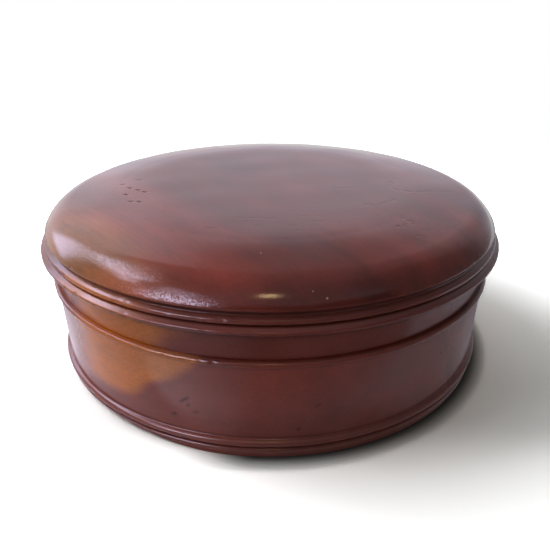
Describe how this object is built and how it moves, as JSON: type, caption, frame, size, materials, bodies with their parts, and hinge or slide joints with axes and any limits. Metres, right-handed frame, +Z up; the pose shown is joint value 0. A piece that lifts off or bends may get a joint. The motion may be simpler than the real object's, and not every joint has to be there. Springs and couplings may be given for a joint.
{
  "type": "round wooden box",
  "caption": "Low round box turned in dark hardwood, with beaded mouldings and a domed lift-off lid that drops over a spigot on the body.",
  "frame": {"origin": "centre of the ring that stands on the table, under the middle of the box", "axes": "+Z up the turning axis, from the foot to the top of the lid; X and Y are free, because both pieces are round"},
  "size_m": [0.23, 0.23, 0.0836],
  "materials": {
    "body_wood": "dark red-brown hardwood under worn gloss polish, with an orange sapwood streak",
    "lid_wood": "dark red-brown hardwood under worn gloss polish, with an orange sapwood streak"
  },
  "bodies": {
    "body": {"body": "body_wood"},
    "lid": {"lid": "lid_wood"}
  },
  "joints": [
    {"name": "lid_lift", "type": "slide", "parent": "body", "child": "lid", "axis": [0, 0, 1], "range_m": [0, 0.12]}
  ]
}
